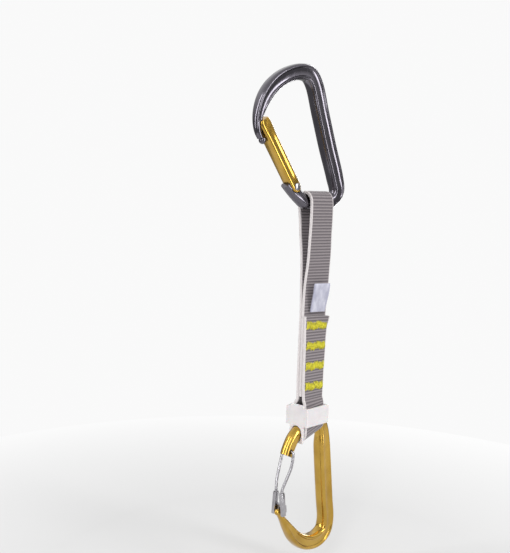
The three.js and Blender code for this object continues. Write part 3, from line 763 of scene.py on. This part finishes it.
def tack_face(z, face_y, outwards):
    """One face of a bar tack: a close zigzag of thread, ragged at its edges."""
    line = []
    for strand in range(TACK_STRANDS + 1):
        x = -TACK_WIDE / 2 + TACK_WIDE * strand / TACK_STRANDS
        end = 1 if strand % 2 else -1
        ragged = 0.5 * math.sin(strand * 2.7) + 0.3 * math.sin(strand * 1.3 + z)
        start_z = z + end * (TACK_HIGH / 2 + ragged)
        line.append((x, face_y - outwards * THREAD_SUNK, start_z))
        if strand < TACK_STRANDS:
            step = TACK_WIDE / TACK_STRANDS
            for share, lift in THREAD_ARCH:
                line.append((x + step * share, face_y + outwards * lift,
                             start_z - end * share * TACK_HIGH))
    return tube("tack", [hung(p) for p in spline(line, 2)], THREAD_RADIUS, 6)


def bar_tack(index):
    z = TACK_FIRST_Z - index * TACK_PITCH
    front = tack_face(z, LAP_Y - WEB_THICK / 2, -1)
    back = tack_face(z, BACK_Y + WEB_THICK / 2, 1)
    work = bmesh.new()
    work.from_mesh(front.data)
    work.from_mesh(back.data)
    work.to_mesh(front.data)
    work.free()
    bpy.data.objects.remove(back)
    front.name = "tack_%d" % (index + 1)
    return front


TAG_WIDE = 12.5
TAG_TOP_Z = -141
TAG_LOW_Z = -160.5
TAG_THICK = 0.3
TAG_SHIFT = 1.2


def tag():
    """A blank cloth tag, folded over at the top, its ends tucked in above the lap."""
    y = FRONT_Y - WEB_THICK / 2 - 1.2
    front = [(y - 0.35, TAG_LOW_Z), (y - 1.9, -154), (y - 3.7, -147), (y - 4.7, TAG_TOP_Z + 0.6)]
    back = [(y - 4.1, TAG_TOP_Z + 0.6), (y - 3.0, -147), (y - 1.1, -154), (y + 0.35, TAG_LOW_Z)]
    fold = [((front[-1][0] + back[0][0]) / 2, TAG_TOP_Z + 1.1)]
    line, reach = evenly(spline([(0, a, b) for a, b in front + fold + back], 10), 0.5)
    rings, uvs = [], []
    for middle, way, along in zip(line, directions(line), reach):
        out = np.array((0, -way[2], way[1])) * TAG_THICK / 2
        ring, places = [], []
        for side in (1, -1):
            for u in np.linspace(-1, 1, 9) * -side:
                curl = 0.5 * max(u, 0) ** 2 * eased((middle[2] - TAG_LOW_Z) / 16)
                ring.append(hung(middle + (TAG_SHIFT + u * TAG_WIDE / 2, -curl, 0) + out * side))
                places.append((u * TAG_WIDE / 2, along))
        rings.append(ring)
        uvs.append(places)
    return loft("sling_tag", rings, uvs), reach[-1]


# ---- the rubber keeper ------------------------------------------------------------------------
KEEPER_WALL = 1.8
KEEPER_TOP = LOW_LOOP_Z + 15.5
KEEPER_LOW = LOW_LOOP_Z + 2
KEEPER_CHEEK = (LOW_LOOP_Z - 10.5, LOW_LOOP_Z + 17.5)
CHEEK_HALF = 6.4                   # half the width of the cheek, across the bar
ROCK_LIMIT = 6
KEEPER_CUT = 20                    # how far the hollow is cut past the keeper's ends
BAR_IN_KEEPER = slice(1, 10)       # the stations of the lower bar that pass through it
KEEPER_GRAIN = 0.3


def keeper():
    """A band round both plies with a cheek that wraps the bar on the gate side."""
    room_x = WEB_WIDTH / 2 + GAP
    room_y = LOOP_INSIDE + WEB_THICK + GAP
    out_x = room_x + KEEPER_WALL
    out_y = room_y + KEEPER_WALL
    shell = combine(box(-out_x, out_x, -out_y, out_y, KEEPER_LOW, KEEPER_TOP), "UNION",
                    [box(-out_x, -room_x, -CHEEK_HALF, CHEEK_HALF, *KEEPER_CHEEK)])
    combine(shell, "DIFFERENCE", [
        box(-room_x, room_x, -room_y, room_y, KEEPER_LOW - KEEPER_CUT, KEEPER_TOP + KEEPER_CUT)])
    moved(shell, Matrix.Translation((SADDLE_MM.x, SADDLE_MM.y, 0)))
    low_mm = low_saddle / MM
    axis = Vector((1, 0, LOW_SLANT)).normalized()
    bars = []
    for part in (-1, 0, 1):
        rock = (Matrix.Translation(low_mm) @ Matrix.Rotation(part * ROCK_LIMIT * DEG, 4, axis)
                @ Matrix.Translation(-low_mm))
        bar = forged_bar(LOW_BAR[BAR_IN_KEEPER], GAP)
        bars.append(moved(bar, rock @ Matrix.Scale(1 / MM, 4) @ place_low))
    combine(shell, "DIFFERENCE", bars)
    shell.name = "strap_keeper"
    skin = shell.modifiers.new("skin", "REMESH")
    skin.mode = "VOXEL"
    skin.voxel_size = KEEPER_GRAIN
    soften = shell.modifiers.new("soften", "SMOOTH")
    soften.iterations = 8
    soften.factor = 0.6
    return settle(shell)


# ---- the whole object --------------------------------------------------------------------------
gunmetal = anodised("gunmetal", (0.155, 0.145, 0.168), (0.11, 0.102, 0.122), 0.13)
gold = anodised("gold_anodised", (0.60, 0.375, 0.065), (0.45, 0.265, 0.038), 0.15)
steel = metal("steel", (0.50, 0.49, 0.51), (0.32, 0.31, 0.33), 0.16, 0.0)
web_cloth = webbing(WEB_WIDTH / 2)
thread = sewing_thread()
tag_material = tag_cloth()
rubber = soft_rubber()


def build_carabiners():
    finished(top_frame(), "top_carabiner", gunmetal, ["top_carabiner_frame"], place_top)
    finished(top_gate(), "solid_gate", gold, ["top_gate"], place_top @ gate_place)
    finished(gate_rivet(), "top_carabiner", steel, ["top_gate_rivet"], place_top)
    finished(low_frame(), "lower_carabiner", gold, ["lower_carabiner_frame"], place_low)
    for side, node in ((-1, "lower_gate_wire_near"), (1, "lower_gate_wire_far")):
        finished(gate_wire(side), "wire_gate", steel, [node], place_low)
    finished(gate_yoke(), "wire_gate", steel, ["lower_gate_yoke"], place_low)
    for name in ("top_gate_spring", "top_gate_follower"):
        part = frame["nodes"][name]
        part.data.materials.clear()
        part.data.materials.append(steel)


def build_sling():
    web = finished(strap(), None, web_cloth, ["sling_upper_loop", "sling_front_ply", "sling_back_ply",
                                              "sling_end_lap", "sling_lower_loop"], sharp=60 * DEG)
    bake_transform(web)
    for index in range(4):
        tack = finished(bar_tack(index), "sewn_sling", thread, ["bar_tack_%d" % (index + 1)])
    leaf, length = tag()
    finished(leaf, None, tag_material, ["sling_label"], sharp=60 * DEG)
    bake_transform(leaf)
    finished(keeper(), "sewn_sling", rubber, ["sling_keeper"], sharp=180 * DEG)


build_carabiners()
build_sling()

# ---- floor and light -----------------------------------------------------------------------------
FLOOR_RADIUS = 0.45
FLOOR_DROP = 0.02                  # below the lowest point of the object
SKY_SEEN = (0.95, 0.95, 0.95)        # behind the object, and what the floor fades into


def make_floor():
    bpy.ops.mesh.primitive_circle_add(vertices=96, radius=FLOOR_RADIUS, fill_type="NGON",
                                      location=(0, 0, cad_low[2] - FLOOR_DROP))
    floor = bpy.context.object
    floor.name = "floor"
    recipe = Recipe("floor", Roughness=0.9, Specular_IOR_Level=0.1, Emission_Color=SKY_SEEN)
    tone = recipe.noise(recipe.place(), 3.0)
    reach = recipe.node("VectorMath", output="Value", settings={"operation": "LENGTH"},
                        Vector=recipe.place())
    fade = recipe.between(reach, FLOOR_RADIUS * 0.4, FLOOR_RADIUS * 0.98, 0.0, 1.0)
    shade = recipe.blend(tone, (0.60, 0.60, 0.60), (0.64, 0.64, 0.64))
    floor.data.materials.append(recipe.done(
        Base_Color=recipe.blend(fade, shade, (0.0, 0.0, 0.0)), Emission_Strength=fade))


# what reflections see, from straight down (0) to straight up (1): place, grey
STUDIO_BANDS = ((0.0, 0.25), (0.42, 0.3), (0.5, 0.22), (0.6, 0.5), (0.78, 1.0), (1.0, 0.7))


def make_world():
    """White behind the object and, in reflections, a studio of bright and dark bands."""
    world = bpy.data.worlds.new("studio")
    bpy.context.scene.world = world
    world.use_nodes = True
    tree = world.node_tree
    coord = tree.nodes.new("ShaderNodeTexCoord")
    split = tree.nodes.new("ShaderNodeSeparateXYZ")
    bands = tree.nodes.new("ShaderNodeValToRGB")
    path = tree.nodes.new("ShaderNodeLightPath")
    mix = tree.nodes.new("ShaderNodeMix")
    mix.data_type = "RGBA"
    lift = tree.nodes.new("ShaderNodeMapRange")
    lift.inputs["From Min"].default_value = -1
    ramp = bands.color_ramp
    ramp.elements[0].position = STUDIO_BANDS[0][0]
    ramp.elements[1].position = STUDIO_BANDS[-1][0]
    for place, _ in STUDIO_BANDS[1:-1]:
        ramp.elements.new(place)
    for element, (_, grey) in zip(ramp.elements, STUDIO_BANDS):
        element.color = (grey, grey, grey, 1)
    tree.links.new(coord.outputs["Generated"], split.inputs[0])
    tree.links.new(split.outputs["Z"], lift.inputs["Value"])
    tree.links.new(lift.outputs[0], bands.inputs["Fac"])
    tree.links.new(path.outputs["Is Camera Ray"], mix.inputs[0])
    tree.links.new(bands.outputs["Color"], mix.inputs[COLOUR_A])
    mix.inputs[COLOUR_B].default_value = (*SKY_SEEN, 1)
    tree.links.new(mix.outputs[COLOUR_RESULT], tree.nodes["Background"].inputs["Color"])


def area_light(name, place, aim, size, power):
    data = bpy.data.lights.new(name, "AREA")
    data.shape = "RECTANGLE"
    data.size, data.size_y = size
    data.energy = power
    light = bpy.data.objects.new(name, data)
    light.location = place
    light.rotation_euler = (Vector(aim) - Vector(place)).to_track_quat("-Z", "Y").to_euler()
    bpy.context.scene.collection.objects.link(light)


OBJECT_MIDDLE = (0.0, 0.0, -0.17)
SOFTBOX_HEIGHT = 1.1
make_floor()
make_world()
# tall, narrow softboxes: name, compass angle from +X, distance, height of the middle, width, power
SOFTBOXES = (
    ("left_front", -150, 0.9, 0.1, 0.20, 3.6), ("right_front", -78, 0.9, 0.05, 0.20, 5.0),
    ("right_back", 20, 0.9, 0.1, 0.12, 3.5), ("left_back", 150, 0.9, 0.15, 0.14, 3.5))
for name, angle, distance, height, width, power in SOFTBOXES:
    spot = (distance * math.cos(angle * DEG), distance * math.sin(angle * DEG), height)
    area_light(name, spot, OBJECT_MIDDLE, (width, SOFTBOX_HEIGHT), power)
